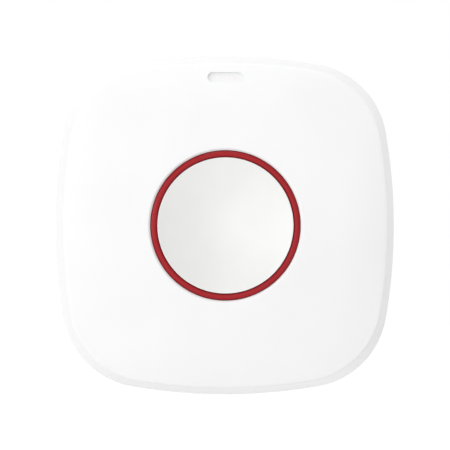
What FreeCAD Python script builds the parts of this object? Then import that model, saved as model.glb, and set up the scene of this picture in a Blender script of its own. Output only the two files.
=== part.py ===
"""Wireless panic button: a rounded-square wall housing with a dished push button in a red ring.

Every piece is drawn with the wall plane at z = 0 and the face toward +z, x to the right and
y up. It is turned upright when it is written, so that the face looks along -Y and +Z is up.
Lengths are in millimetres and angles in degrees.
"""

import FreeCAD
import Part
import math
import os

V = FreeCAD.Vector
ORIGIN = V(0, 0, 0)
Z_AXIS = V(0, 0, 1)

# Directions around the button axis
sides = (0, 90, 180, 270)
diagonals = (45, 135, 225, 315)
tab_angles = (90, 210, 330)
lug_angles = (30, 150, 270)

# How far a rib or post is sunk into what carries it
sink = 0.4

# Housing outline and front cover
half_width = 32.5
side_radius = 103.5
corner_radius = 15.85
wall_draft = 5.8
side_wall = 1.7
face_wall = 2.0
dome_radius = 200.0
rim_bevel_width = 5.0
rim_bevel_drop = 0.85
roof_overhang = 2.0
seam_height = 3.6

# Rear cover
rear_tuck = 0.4
rear_taper = 1.2
floor_wall = 1.8
lip_clearance = 0.15
lip_wall = 1.1
lip_height = 2.0
floor_rib = 1.0
floor_rib_height = 1.0
notch_width = 8.0
notch_height = 0.9
notch_depth = 1.0

# Snap hooks of the rear cover and their pockets in the front cover
hook_width = 6.0
hook_wall = 1.2
hook_reach = 0.65
hook_low = 6.4
hook_high = 8.1
pocket_clearance = 0.2

# Wall-screw holes, on a line across the rear cover
wall_hole_spacing = 42.0
wall_hole_radius = 2.1
wall_hole_collar = 2.4
collar_height = 1.0

# Small screws
screw_radius = 1.0
screw_head_radius = 1.85
screw_head_height = 1.2
screw_fit = 0.03
screw_pass = 0.15
boss_wall = 1.3

# Coin cell and its holder, behind the board
cell_radius = 12.25
cell_thickness = 5.0
cell_under_gap = 0.8
cell_cap_radius = 10.9
cell_cap_step = 0.3
cell_fit = 0.2
holder_wall = 1.4
holder_base = 0.8
holder_foot_gap = 0.2
finger_gap = 15.0
lip_reach = 0.9
lip_width = 4.0
lip_gap = 0.1
strip = 0.25
strip_width = 5.0
strip_gap = 0.3
strip_foot = 2.5
clip_gap = 0.05
clip_rise = 1.0
contact_bend = 7.3
contact_run = 1.1
contact_reach = 5.4
contact_gap = 0.3

# Circuit board
board_thickness = 1.2
board_gap = 1.85
board_corner_cut = 11.3
board_screw_inset = 7.8
rest_post_width = 5.0
board_screw_length = 6.0
board_screw_room = 0.8

# Push switch
switch_width = 6.0
switch_body_height = 3.0
switch_plate = 0.3
switch_floor = 0.3
plunger_radius = 1.6
plunger_rise = 0.5
plunger_flange = 0.8
plunger_flange_wall = 0.6
plunger_gap = 0.1
pin_width = 1.0
pin_reach = 1.6
pin_thick = 0.2

# Button carrier, cap and return spring
travel = 0.9
travel_spare = 0.1
pad_width = 2.2
carrier_thickness = 1.0
carrier_stop = 1.1
lug_width = 5.0
lug_reach = 1.2
lug_gap = 0.15
spigot_reach = 0.9
spigot_width = 4.0
spigot_height = 0.8
spigot_gap = 0.1
cap_radius = 12.96
cap_gap = 0.15
cap_proud = 0.12
cap_dish = 1.7
cap_wall = 1.2
cap_edge_bevel = 0.35
leg_circle = 9.4
leg_width = 3.0
leg_thick = 1.0
leg_hook = 0.5
leg_gap = 0.1
spring_radius = 5.4
spring_wire_width = 0.6
spring_wire_height = 0.4
spring_turns = 1.5
spring_side_gap = 0.2
spring_stop = 0.8

# Red ring and its frame
ring_width = 1.26
ring_crown = 0.22
crown_steps = 2
ring_set_back = 0.12
ring_bore_gap = 0.07
bore_chamfer = 0.4
ring_tab_thick = 1.0
seat_pad = 0.95
seat_side = 1.2
frame_floor = 1.0
frame_wall = 1.6
frame_gap = 0.3
foot_width = 4.0
foot_peg = 2.4
peg_gap = 0.1
window_length = 3.2
window_width = 2.0

# Lamps
led_length = 2.0
led_width = 1.25
led_height = 0.7
led_base = 0.3
led_inset = 0.2
led_air = 0.1
led_count = 6

# Status window near the top edge of the face
slot_length = 6.75
slot_width = 1.85
slot_inset = 4.05
slot_set_back = 0.35
slot_fit = 0.05
lens_flange_length = 12.4
lens_flange_thick = 1.0
lens_flange_drop = 2.0
lens_pad = 0.35
lens_pipe_gap = 0.6
lens_rib = 0.8

# Tamper pin and its leaf spring
tamper_inset = 11.0
tamper_radius = 1.5
tamper_gap = 0.06
tamper_travel = 1.1
tamper_sleeve_wall = 1.2
tamper_sleeve_height = 2.4
tamper_head_width = 4.4
leaf_width = 3.0
leaf_foot = 3.5
leaf_ramp = 2.0
leaf_drop = 0.55
leaf_run = 6.0

# Radio board, chips and antenna on the board's front
radio_width = 7.0
radio_height = 15.0
radio_edge = 0.3
radio_board = 0.8
can_width = 5.8
can_length = 10.6
can_rise = 1.8
can_sheet = 0.2
can_round = 0.3
chip_size = 5.0
chip_thick = 0.85
chip_x = -9.0
chip_edge = 2.8
chip_chamfer = 0.4
crystal_length = 3.2
crystal_width = 2.5
crystal_case = 0.45
crystal_thick = 0.7
crystal_x = 8.6
crystal_edge = 4.6
small_length = 1.6
small_width = 0.8
capacitor_thick = 0.45
resistor_thick = 0.3
small_cap = 0.3
small_proud = 0.04
row_step = 2.0
antenna_edge = 1.3
antenna_length = 24.0
antenna_width = 1.6
antenna_rise = 4.2
antenna_leg_step = 4.0

# Heights of the stack, worked out from the wall plane to the face
cell_low = floor_wall + cell_under_gap
cell_high = cell_low + cell_thickness
holder_high = cell_high + contact_gap
board_low = holder_high + holder_base
board_high = board_low + board_thickness
body_high = board_high + switch_body_height
plate_high = body_high + switch_plate
pad_low = plate_high + plunger_rise
carrier_low = plate_high + travel + travel_spare
carrier_high = carrier_low + carrier_thickness
seat_plane = carrier_high + ring_tab_thick
frame_low = board_high + led_height + led_air
frame_high = frame_low + frame_floor

# Radii around the button axis, worked out from the cap
ring_inner = cap_radius + cap_gap
ring_outer = ring_inner + ring_width
bore_radius = ring_outer + ring_bore_gap
carrier_radius = ring_outer + carrier_stop
led_circle = (ring_inner + ring_outer) / 2
frame_inner = carrier_radius + frame_gap
frame_outer = frame_inner + frame_wall
lug_radius = carrier_radius + lug_reach
holder_half = cell_radius + cell_fit + holder_wall
bore_sag = dome_radius - math.sqrt(dome_radius ** 2 - bore_radius ** 2)
crest = seat_plane + seat_pad + face_wall + bore_sag - ring_bore_gap
bore_edge = crest - bore_sag
ring_high = bore_edge - ring_set_back
cap_high = ring_high + cap_proud
dome_centre = crest - dome_radius
wall_slope = math.tan(math.radians(wall_draft))
lip_inset = side_wall + lip_clearance
lip_top = seam_height + lip_height
boss_width = 2 * (screw_radius + boss_wall)

# Places across the face and the board, worked out from the outline
slot_up = half_width - slot_inset
tamper_up = half_width - tamper_inset
board_half = (
    half_width - (board_high - seam_height) * wall_slope - side_wall - board_gap)
board_screw_offset = board_half - board_screw_inset
radio_x = board_half - radio_edge - radio_width / 2
chip_y = chip_edge + chip_size / 2 - board_half
crystal_y = crystal_edge + crystal_width / 2 - board_half
antenna_x = antenna_edge + antenna_width / 2 - board_half


def half_at(z):
    """Half width of the front cover's outer wall at height z."""
    return half_width - (z - seam_height) * wall_slope


def rounded_square(half, inset, z):
    """Wire of four long side arcs and four corner arcs, each tangent to the next."""
    long_radius = side_radius - (half_width - half)
    rise = long_radius - half
    between = long_radius - corner_radius
    centre = (math.sqrt(2 * between ** 2 - rise ** 2) - rise) / 2
    reach = corner_radius - inset
    near = centre * (1 + reach / between)
    far = centre + reach * (centre + rise) / between
    bulge = centre + reach / math.sqrt(2)
    edges = []
    for turn in range(4):
        spin = FreeCAD.Rotation(Z_AXIS, -90 * turn)
        start = spin.multVec(V(-near, far, z))
        middle = spin.multVec(V(0, half - inset, z))
        end = spin.multVec(V(near, far, z))
        corner = spin.multVec(V(bulge, bulge, z))
        onward = spin.multVec(V(far, near, z))
        edges.append(Part.Arc(start, middle, end).toShape())
        edges.append(Part.Arc(end, corner, onward).toShape())
    return Part.Wire(edges)


def prism(half, inset, low, high):
    """Straight-sided plate with the housing's outline."""
    return Part.Face(rounded_square(half, inset, low)).extrude(V(0, 0, high - low))


def drafted(inset, low, high):
    """Body that follows the front cover's outer wall, moved inward by inset."""
    wires = [rounded_square(half_at(z), inset, z) for z in (low, high)]
    return Part.makeLoft(wires, True, True)


def side_ball(radius, centre_height):
    """Ball on the button axis whose poles and seam lie away from the axis."""
    centre = V(0, 0, centre_height)
    ball = Part.makeSphere(radius, centre, V(1, 0, 0))
    ball.rotate(centre, V(1, 0, 0), 90)
    return ball


def arc_points(start, end, rise, steps):
    """Points in order along an arc of the given rise, from start to end."""
    run = math.dist(start, end)
    radius = (run ** 2 / 4 + rise ** 2) / (2 * rise)
    half = math.asin(run / (2 * radius))
    along = ((end[0] - start[0]) / run, (end[1] - start[1]) / run)
    across = (-along[1], along[0])
    points = []
    for step in range(steps + 1):
        angle = half * (2 * step / steps - 1)
        forward = run / 2 + radius * math.sin(angle)
        outward = radius * (math.cos(angle) - math.cos(half))
        points.append((
            start[0] + along[0] * forward + across[0] * outward,
            start[1] + along[1] * forward + across[1] * outward))
    return points


def under_face(shape, depth):
    """What lies of a shape below the domed face, or below a surface set deeper by depth."""
    return shape.common(side_ball(dome_radius - depth, dome_centre))


def face_at(radius):
    """Height of the dome at a distance from the button axis."""
    return dome_centre + math.sqrt(dome_radius ** 2 - radius ** 2)


def under_bevel(shape, depth):
    """What lies of a shape below the sloping band round the face, set deeper by depth."""
    edge = half_at(face_at(half_width))
    foot = face_at(edge) - rim_bevel_drop
    start = face_at(edge - rim_bevel_width)
    slope = (start - foot) / rim_bevel_width
    apex = rim_bevel_width + (crest - start) / slope
    sections = (
        (-roof_overhang, seam_height),
        (-roof_overhang, foot - roof_overhang * slope - depth),
        (apex, crest - depth),
    )
    wires = [rounded_square(edge, inset, z) for inset, z in sections]
    return shape.common(Part.makeLoft(wires, True, True))


def cylinder(radius, low, high, x=0.0, y=0.0):
    """Upright round bar."""
    return Part.makeCylinder(radius, high - low, V(x, y, low))


def block(width, depth, low, high, x=0.0, y=0.0):
    """Upright rectangular bar centred on x, y."""
    return Part.makeBox(width, depth, high - low, V(x - width / 2, y - depth / 2, low))


def stadium(length, width, low, high, y):
    """Upright bar with round ends, lying along x."""
    flat = length - width
    bar = block(flat, width, low, high, 0, y)
    ends = [cylinder(width / 2, low, high, side * flat / 2, y) for side in (-1, 1)]
    return bar.multiFuse(ends).removeSplitter()


def turned(points):
    """Solid swept around the button axis by an outline of points given as radius and height."""
    outline = Part.makePolygon([V(radius, 0, z) for radius, z in points + points[:1]])
    return Part.Face(outline).revolve(ORIGIN, Z_AXIS, 360)


def spun(shape, angle):
    """Copy of a shape turned around the button axis."""
    copy = shape.copy()
    copy.rotate(ORIGIN, Z_AXIS, angle)
    return copy


def joined(shapes):
    """One solid from pieces that meet."""
    return shapes[0].multiFuse(shapes[1:]).removeSplitter()


def bar(inner, outer, width, low, high):
    """Upright bar along x between two distances from the button axis."""
    return block(outer - inner, width, low, high, (inner + outer) / 2)


def board_screw_places():
    """Centres of the two board screws, on one diagonal."""
    return [(side * board_screw_offset, side * board_screw_offset) for side in (-1, 1)]


def screw(length, head_height):
    """Screw along +z, with its head's seat at z = 0."""
    head = cylinder(screw_head_radius, -head_height, 0)
    return joined([head, cylinder(screw_radius, 0, length)])


def placed(shape, x, y, z):
    """Copy of a shape moved to x, y, z."""
    copy = shape.copy()
    copy.translate(V(x, y, z))
    return copy


def cover_posts():
    """Bosses, posts, seats and ribs inside the front cover, before they are trimmed."""
    posts = []
    for x, y in board_screw_places():
        posts.append(block(boss_width, boss_width, board_high, crest, x, y))
        posts.append(block(rest_post_width, floor_rib, board_high, crest, x, -y))
        posts.append(block(floor_rib, rest_post_width, board_high, crest, x, -y))
    seat = bar(ring_outer, frame_outer, lug_width + 2 * seat_side, seat_plane, crest)
    posts += [spun(seat, angle) for angle in tab_angles]
    diagonal = board_screw_offset * math.sqrt(2)
    rib = bar(frame_outer, diagonal, floor_rib, seat_plane - floor_rib, crest)
    posts += [spun(rib, angle) for angle in diagonals]
    seat = lens_seat()
    depth = slot_width + lens_flange_drop
    grip = lens_flange_length / 2 + slot_fit + lens_rib
    posts.append(block(2 * grip, depth, seat, crest, 0, lens_middle()))
    for side in (-1, 1):
        posts.append(block(
            lens_rib, depth, seat - lens_flange_thick, seat,
            side * (grip - lens_rib / 2), lens_middle()))
    return posts


def lens_seat():
    """Height of the flat seat behind the status window."""
    return face_at(slot_up + slot_width / 2) - face_wall - lens_pad


def front_blank():
    """Solid body of the front cover: drafted side wall, domed face and sloping rim."""
    return under_bevel(under_face(drafted(0, seam_height, crest), 0), 0)


def front_cover():
    """Domed front shell with the button bore, the window slot, bosses, ribs and pockets."""
    cavity = under_face(drafted(side_wall, seam_height, crest), face_wall)
    shell = front_blank().cut(cavity)
    inside = under_face(drafted(side_wall / 2, seam_height, crest), face_wall / 2)
    cover = joined([shell] + [post.common(inside) for post in cover_posts()])
    cuts = [
        cylinder(bore_radius, seam_height, crest),
        Part.makeCone(
            bore_radius, bore_radius + 2 * bore_chamfer, 2 * bore_chamfer,
            V(0, 0, bore_edge - bore_chamfer)),
        stadium(slot_length, slot_width, seam_height, crest, slot_up),
    ]
    pilot_end = board_low + board_screw_length + board_screw_room
    for x, y in board_screw_places():
        cuts.append(cylinder(screw_radius + screw_fit, board_high, pilot_end, x, y))
    cuts += [spun(hook_pocket(), angle) for angle in sides]
    return [cover.cut(cuts)]


def hook_pocket():
    """Recess in the front cover's inner wall that one hook snaps into."""
    low = hook_low - pocket_clearance
    high = hook_high + pocket_clearance
    inner = half_at(low) - side_wall - hook_wall
    outer = half_at(hook_low) - lip_inset + hook_reach + pocket_clearance
    return bar(inner, outer, hook_width + 2 * pocket_clearance, low, high)


def hook():
    """Upright arm of the rear cover with a sloped nose that catches the front cover."""
    back = half_at(lip_top) - lip_inset
    front = half_at(hook_low) - lip_inset
    slope_start = hook_low + (hook_high - hook_low) / 3
    return upright_plate([
        (back - hook_wall, floor_wall - sink),
        (back, floor_wall - sink),
        (back, hook_low),
        (front + hook_reach, hook_low),
        (front + hook_reach, slope_start),
        (back - hook_wall / 2, hook_high),
        (back - hook_wall, hook_high),
    ], hook_width)


def upright_plate(profile, width):
    """Bar of the given width whose profile is drawn as distance from the axis and height."""
    points = [V(x, -width / 2, z) for x, z in profile + profile[:1]]
    return Part.Face(Part.makePolygon(points)).extrude(V(0, width, 0))


def rear_blank():
    """Solid body of the rear cover, which widens from the wall to the seam."""
    wires = [
        rounded_square(half_width - rear_tuck, inset, z)
        for inset, z in ((rear_taper, 0), (0, seam_height))
    ]
    return Part.makeLoft(wires, True, True)


def rear_cover():
    """Wall-side tray with locating lip, hooks, ribs, screw pads, tamper guide and pry notch."""
    tray = joined([rear_blank(), drafted(lip_inset, seam_height, lip_top)])
    tray = tray.cut(prism(half_at(lip_top), lip_inset + lip_wall, floor_wall, lip_top + 1))
    root = floor_wall - sink
    rib_high = floor_wall + floor_rib_height
    rib_start = holder_half * math.sqrt(2) + floor_rib
    rib_end = board_screw_offset * math.sqrt(2)
    rib = bar(rib_start, rib_end, floor_rib, root, rib_high)
    additions = [spun(rib, angle) for angle in diagonals]
    additions += [spun(hook(), angle) for angle in sides]
    pad = 2 * (wall_hole_radius + wall_hole_collar)
    pad_high = floor_wall + collar_height
    for side in (-1, 1):
        additions.append(block(pad, pad, root, pad_high, side * wall_hole_spacing / 2))
    guide = 2 * (tamper_radius + tamper_gap + tamper_sleeve_wall)
    guide_high = floor_wall + tamper_sleeve_height
    additions.append(block(guide, guide, root, guide_high, 0, tamper_up))
    tray = joined([tray] + additions)
    cuts = [
        cylinder(wall_hole_radius, 0, pad_high, side * wall_hole_spacing / 2)
        for side in (-1, 1)
    ]
    cuts.append(cylinder(tamper_radius + tamper_gap, 0, guide_high, 0, tamper_up))
    cuts.append(block(
        notch_width, 2 * notch_depth, seam_height - notch_height, seam_height,
        0, rear_tuck - half_width))
    return [tray.cut(cuts)]


def ring_light():
    """Red light guide: a narrow crowned ring with three tabs held by the frame."""
    edge = ring_high - ring_crown
    crown = arc_points((ring_inner, edge), (ring_outer, edge), ring_crown, crown_steps)
    base = [(ring_outer, carrier_high), (ring_inner, carrier_high)]
    tab = bar(
        (ring_inner + ring_outer) / 2, frame_outer, lug_width, carrier_high, seat_plane)
    return [joined([turned(crown + base)] + [spun(tab, angle) for angle in tab_angles])]


def button_frame():
    """Cup on the board that carries the ring, guides the carrier and seats the spring."""
    cup = cylinder(frame_outer, frame_low, seat_plane)
    switch_hole = switch_width + 2 * frame_gap
    slot_wide = lug_width + 2 * lug_gap
    slot_start = frame_inner - frame_wall
    slot_end = frame_outer + frame_wall
    slot = bar(slot_start, slot_end, slot_wide, frame_high, seat_plane)
    notch = bar(slot_start, slot_end, slot_wide, carrier_high, seat_plane)
    window = block(window_width, window_length, frame_low, frame_high, led_circle)
    cuts = [
        cylinder(frame_inner, frame_high, seat_plane),
        block(switch_hole, switch_hole, frame_low, frame_high),
    ]
    cuts += [spun(slot, angle) for angle in lug_angles]
    cuts += [spun(notch, angle) for angle in tab_angles]
    cuts += [spun(window, angle) for angle in led_angles()]
    cup = cup.cut(cuts)
    stop_at = spring_radius + spring_wire_width / 2 + spring_side_gap
    stop = bar(
        stop_at, stop_at + spring_stop, 2 * spring_stop, frame_high - sink,
        frame_high + spring_stop)
    foot_at = frame_inner + frame_wall / 2
    foot = block(frame_wall / 2, foot_width, board_high, frame_low, foot_at)
    peg = block(frame_wall / 2, foot_peg, board_low, board_high, foot_at)
    additions = [spun(stop, angle) for angle in diagonals]
    additions += [spun(joined([foot, peg]), angle) for angle in tab_angles]
    return [joined([cup] + additions)]


def led_angles():
    """Directions of the ring lamps."""
    return [turn * 360 / led_count for turn in range(led_count)]


def board_screws():
    """Two screws that hold the circuit board to the front cover."""
    shape = screw(board_screw_length, screw_head_height)
    return [placed(shape, x, y, board_low) for x, y in board_screw_places()]


def cap_leg():
    """Snap leg of the cap, with a sloped nose that catches under the carrier."""
    inner = leg_circle - leg_thick / 2
    outer = leg_circle + leg_thick / 2
    top = cap_underside() + sink
    nose = carrier_low - leg_hook
    return upright_plate([
        (inner, top), (inner, nose), (outer, nose), (outer + leg_hook, carrier_low),
        (outer, carrier_low), (outer, top),
    ], leg_width)


def cap_underside():
    """Height of the flat underside of the cap."""
    return cap_high - cap_dish - cap_wall


def button_cap():
    """Cap with a dished face, a bevelled edge, a skirt and four snap legs."""
    rim = cap_radius - cap_edge_bevel
    under = cap_underside()
    body = turned([
        (rim, cap_high),
        (cap_radius, cap_high - cap_edge_bevel),
        (cap_radius, carrier_high),
        (cap_radius - cap_wall, carrier_high),
        (cap_radius - cap_wall, under),
        (0, under),
        (0, cap_high),
    ])
    dish_radius = (rim ** 2 + cap_dish ** 2) / (2 * cap_dish)
    body = body.cut(side_ball(dish_radius, cap_high - cap_dish + dish_radius))
    return [joined([body] + [spun(cap_leg(), angle) for angle in sides])]


def button_carrier():
    """Disc behind the cap with its stop rim, guide lugs, centring blocks and switch pad."""
    lug = bar(leg_circle, lug_radius, lug_width, carrier_low, carrier_high)
    corner = cap_radius - cap_wall - spigot_gap
    face = math.sqrt(corner ** 2 - spigot_width ** 2 / 4)
    spigot = bar(
        face - spigot_reach, face, spigot_width, carrier_high, carrier_high + spigot_height)
    pieces = [
        cylinder(carrier_radius, carrier_low, carrier_high),
        block(pad_width, pad_width, pad_low, carrier_low),
    ]
    pieces += [spun(lug, angle) for angle in lug_angles]
    pieces += [spun(spigot, angle) for angle in diagonals]
    window = block(
        leg_thick + 2 * leg_gap, leg_width + 2 * leg_gap, carrier_low, carrier_high, leg_circle)
    return [joined(pieces).cut([spun(window, angle) for angle in sides])]


def coil(radius, width, height, low, high, turns):
    """Flat-wire compression spring between two seats."""
    path_height = high - low - height
    path = Part.makeHelix(path_height / turns, path_height, radius)
    corners = [(-1, -1), (1, -1), (1, 1), (-1, 1), (-1, -1)]
    section = Part.makePolygon([V(radius + x * width / 2, 0, y * height / 2) for x, y in corners])
    shape = Part.Wire(path.Edges).makePipeShell([section], True, True)
    return placed(shape, 0, 0, low + height / 2)


def return_spring():
    """Spring that lifts the carrier back against the ring."""
    return [coil(
        spring_radius, spring_wire_width, spring_wire_height,
        frame_high, carrier_low, spring_turns)]


def circuit_board():
    """Board with cut corners, two screw holes and three holes for the frame's pegs."""
    cut = board_half - board_corner_cut
    corners = [(-board_half, cut), (-cut, board_half), (cut, board_half), (board_half, cut)]
    corners += [(-x, -y) for x, y in corners]
    outline = Part.makePolygon([V(x, y, board_low) for x, y in corners + corners[:1]])
    board = Part.Face(outline).extrude(V(0, 0, board_thickness))
    cuts = [
        cylinder(screw_radius + screw_pass, board_low, board_high, x, y)
        for x, y in board_screw_places()
    ]
    hole = block(
        frame_wall / 2 + 2 * peg_gap, foot_peg + 2 * peg_gap, board_low, board_high,
        frame_inner + frame_wall / 2)
    cuts += [spun(hole, angle) for angle in tab_angles]
    return [board.cut(cuts)]


def switch_body():
    """Square moulded switch base with a square well for the plunger."""
    body = block(switch_width - 2 * switch_plate, switch_width, board_high, body_high)
    well = 2 * (plunger_radius + plunger_flange_wall + plunger_gap)
    return [body.cut(block(well, well, board_high + switch_floor, body_high))]


def switch_cover():
    """Folded steel cover on the switch, with two side tabs."""
    plate = block(switch_width, switch_width, body_high, plate_high)
    tab_low = board_high + switch_body_height / 3
    tab_out = (switch_width - switch_plate) / 2
    tabs = [
        block(switch_plate, switch_width / 3, tab_low, body_high, side * tab_out)
        for side in (-1, 1)
    ]
    cover = joined([plate] + tabs)
    return [cover.cut(cylinder(plunger_radius + plunger_gap, body_high, plate_high))]


def switch_plunger():
    """Round plunger that the carrier pushes, with a square stop flange under the cover."""
    flange_low = body_high - plunger_flange
    flange = 2 * (plunger_radius + plunger_flange_wall)
    return [joined([
        cylinder(plunger_radius, flange_low, pad_low),
        block(flange, flange, flange_low, body_high),
    ])]


def switch_pins():
    """Four soldered legs of the push switch."""
    out = switch_width / 2 - switch_plate + pin_reach / 2
    rows = switch_width / 3
    return [
        block(pin_reach, pin_width, board_high, board_high + pin_thick, x * out, y * rows)
        for x in (-1, 1) for y in (-1, 1)
    ]


def lamp(x, y):
    """Surface-mounted lamp: a base with a narrower clear block on it."""
    base = block(led_length, led_width, board_high, board_high + led_base, x, y)
    lens = block(
        led_length - 2 * led_inset, led_width, board_high + led_base, board_high + led_height,
        x, y)
    return joined([base, lens])


def ring_leds():
    """Lamps under the windows of the frame."""
    upright = spun(lamp(0, 0), 90)
    return [spun(placed(upright, led_circle, 0, 0), angle) for angle in led_angles()]


def status_led():
    """Lamp under the status window's light pipe."""
    return [lamp(0, lens_middle())]


def lens_middle():
    """Height above the button axis of the middle of the light pipe's flange."""
    top = slot_up + slot_width / 2 - slot_fit
    return top - (slot_width + lens_flange_drop) / 2


def status_lens():
    """Milky window set a little into the face, with a flange and a pipe to its lamp."""
    seat = lens_seat()
    window = stadium(
        slot_length - 2 * slot_fit, slot_width - 2 * slot_fit, seat, crest, slot_up)
    flange = block(
        lens_flange_length, slot_width + lens_flange_drop, seat - lens_flange_thick, seat,
        0, lens_middle())
    pipe = block(
        slot_length - 2 * slot_width, slot_width,
        board_high + led_height + lens_pipe_gap, seat - lens_flange_thick, 0, lens_middle())
    window = under_bevel(under_face(window, slot_set_back), slot_set_back)
    return [joined([window, flange, pipe])]


def coin_cell():
    """Lithium coin cell: a round can with the smaller cap of its other pole."""
    can = cylinder(cell_radius, cell_low, cell_high - cell_cap_step)
    return [joined([can, cylinder(cell_cap_radius, cell_low, cell_high)])]


def battery_holder():
    """Square cradle on the back of the board with a round well, two lips and a finger gap."""
    low = floor_wall + holder_foot_gap
    inner = cell_radius + cell_fit
    opening = strip_width + 2 * strip_gap
    body = block(2 * holder_half, 2 * holder_half, low, board_low)
    cuts = [
        cylinder(inner, low, holder_high),
        block(finger_gap, holder_half, low, holder_high, 0, -holder_half),
        bar(inner - holder_wall, holder_half, opening, low, board_low),
        bar(-holder_half, contact_run - contact_bend, opening, low, board_low),
    ]
    lip = bar(
        inner - lip_reach, inner + holder_wall, lip_width, low, cell_low - lip_gap)
    return [joined([body.cut(cuts)] + [spun(lip, angle) for angle in (45, 135)])]


def bent_strip(points, width):
    """Sheet strip bent through the given points of its lower side."""
    return upright_plate(points + [(x, z + strip) for x, z in reversed(points)], width)


def positive_clip():
    """Upright spring strip against the side of the cell, with a foot on the board."""
    inner = cell_radius + clip_gap
    upright = bar(inner, inner + strip, strip_width, cell_low + clip_rise, board_low)
    foot = bar(inner, holder_half + strip_foot, strip_width, board_low - strip, board_low)
    return [joined([upright, foot])]


def negative_contact():
    """Sheet strip from the board down onto the cell's cap."""
    return [bent_strip([
        (-holder_half - strip_foot, board_low - strip),
        (-contact_bend, board_low - strip),
        (contact_run - contact_bend, cell_high),
        (contact_reach, cell_high),
    ], strip_width)]


def tamper_pin():
    """Pin that reaches the wall through the rear cover, with a head that stops on its guide."""
    step = floor_wall + tamper_sleeve_height + tamper_travel + travel_spare
    top = board_low - strip - leaf_drop
    return [joined([
        cylinder(tamper_radius, 0, step, 0, tamper_up),
        block(tamper_head_width, tamper_head_width, step, top, 0, tamper_up),
    ])]


def tamper_leaf():
    """Leaf spring soldered to the back of the board that pushes the pin toward the wall."""
    foot_start = -leaf_run - leaf_foot
    high = board_low - strip
    shape = bent_strip([
        (foot_start, high),
        (foot_start + leaf_foot, high),
        (foot_start + leaf_foot + leaf_ramp, high - leaf_drop),
        (tamper_radius + strip, high - leaf_drop),
    ], leaf_width)
    return [placed(shape, 0, tamper_up, 0)]


def radio_module():
    """Small radio board soldered flat onto the main board."""
    return [block(
        radio_width, radio_height, board_high, board_high + radio_board, radio_x)]


def radio_shield():
    """Drawn metal can, open toward the radio board."""
    low = board_high + radio_board
    can = block(can_width, can_length, low, low + can_rise, radio_x)
    upper = [edge for edge in can.Edges if edge.BoundBox.ZMin > low + can_rise / 4]
    can = can.makeFillet(can_round, upper)
    inside = block(
        can_width - 2 * can_sheet, can_length - 2 * can_sheet, low, low + can_rise - can_sheet,
        radio_x)
    return [can.cut(inside)]


def controller_chip():
    """Flat square chip with one bevelled corner."""
    chip = block(chip_size, chip_size, board_high, board_high + chip_thick, chip_x, chip_y)
    corner = V(chip_x - chip_size / 2, chip_y + chip_size / 2, board_high)
    mark = [
        edge for edge in chip.Edges
        if (edge.CenterOfMass - corner).Length < chip_thick
    ]
    return [chip.makeChamfer(chip_chamfer, mark)]


def crystal():
    """Timing crystal in its low metal-lidded case."""
    case_high = board_high + crystal_case
    case = block(crystal_length, crystal_width, board_high, case_high, crystal_x, crystal_y)
    lid = block(
        crystal_length - 2 * small_cap, crystal_width - 2 * small_cap,
        case_high, board_high + crystal_thick, crystal_x, crystal_y)
    return [joined([case, lid])]


def small_part(x, y, thick):
    """Surface-mounted part: a body between two slightly larger end caps."""
    body = block(small_length - 2 * small_cap, small_width, board_high, board_high + thick, x, y)
    end = (small_length - small_cap) / 2
    caps = [
        block(small_cap, small_width + 2 * small_proud, board_high,
              board_high + thick + small_proud, x + side * end, y)
        for side in (-1, 1)
    ]
    return joined([body] + caps)


def chip_capacitors():
    """Row of capacitors above the controller and one beside the radio board."""
    row_y = chip_y + chip_size / 2 + small_width
    row = [small_part(chip_x + step * row_step, row_y, capacitor_thick) for step in (-1, 0, 1)]
    side_y = radio_height / 2 + small_width
    return row + [small_part(radio_x, side_y, capacitor_thick)]


def chip_resistors():
    """Pair of resistors beside the crystal and one beside the status lamp."""
    row_x = crystal_x + crystal_length / 2 + small_length
    pair = [
        small_part(row_x, crystal_y + side * row_step / 2, resistor_thick) for side in (-1, 1)
    ]
    return pair + [small_part(led_length + row_step, lens_middle(), resistor_thick)]


def antenna():
    """Stamped strip antenna on two legs along the left side of the board."""
    top = board_high + antenna_rise
    bar = block(antenna_width, antenna_length, top - strip, top, antenna_x)
    leg_x = antenna_x - (antenna_width - strip) / 2
    first = antenna_length / 2 - antenna_width / 2
    legs = [
        block(strip, antenna_width, board_high, top - strip, leg_x, first - step)
        for step in (0, antenna_leg_step)
    ]
    return [joined([bar] + legs)]


NODES = {
    "front_cover": front_cover,
    "rear_cover": rear_cover,
    "ring_light": ring_light,
    "status_lens": status_lens,
    "button_cap": button_cap,
    "button_carrier": button_carrier,
    "return_spring": return_spring,
    "button_frame": button_frame,
    "circuit_board": circuit_board,
    "board_screws": board_screws,
    "switch_body": switch_body,
    "switch_cover": switch_cover,
    "switch_plunger": switch_plunger,
    "switch_pins": switch_pins,
    "ring_leds": ring_leds,
    "status_led": status_led,
    "coin_cell": coin_cell,
    "battery_holder": battery_holder,
    "positive_clip": positive_clip,
    "negative_contact": negative_contact,
    "tamper_pin": tamper_pin,
    "tamper_leaf": tamper_leaf,
    "radio_module": radio_module,
    "radio_shield": radio_shield,
    "controller_chip": controller_chip,
    "crystal": crystal,
    "chip_capacitors": chip_capacitors,
    "chip_resistors": chip_resistors,
    "antenna": antenna,
}


def write(name, shapes):
    """Turn a node's solids upright and write them to one STEP file."""
    solids = [solid for shape in shapes for solid in shape.Solids]
    whole = solids[0] if len(solids) == 1 else Part.makeCompound(solids)
    whole.rotate(ORIGIN, V(1, 0, 0), 90)
    whole.exportStep(os.path.join("parts", name + ".step"))


def main():
    """Write every node."""
    os.makedirs("parts", exist_ok=True)
    for name, make in NODES.items():
        write(name, make())


main()
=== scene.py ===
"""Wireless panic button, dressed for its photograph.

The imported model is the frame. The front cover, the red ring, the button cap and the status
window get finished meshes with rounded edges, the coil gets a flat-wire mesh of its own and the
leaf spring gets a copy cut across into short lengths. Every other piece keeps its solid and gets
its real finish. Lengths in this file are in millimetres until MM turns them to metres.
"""

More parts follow.
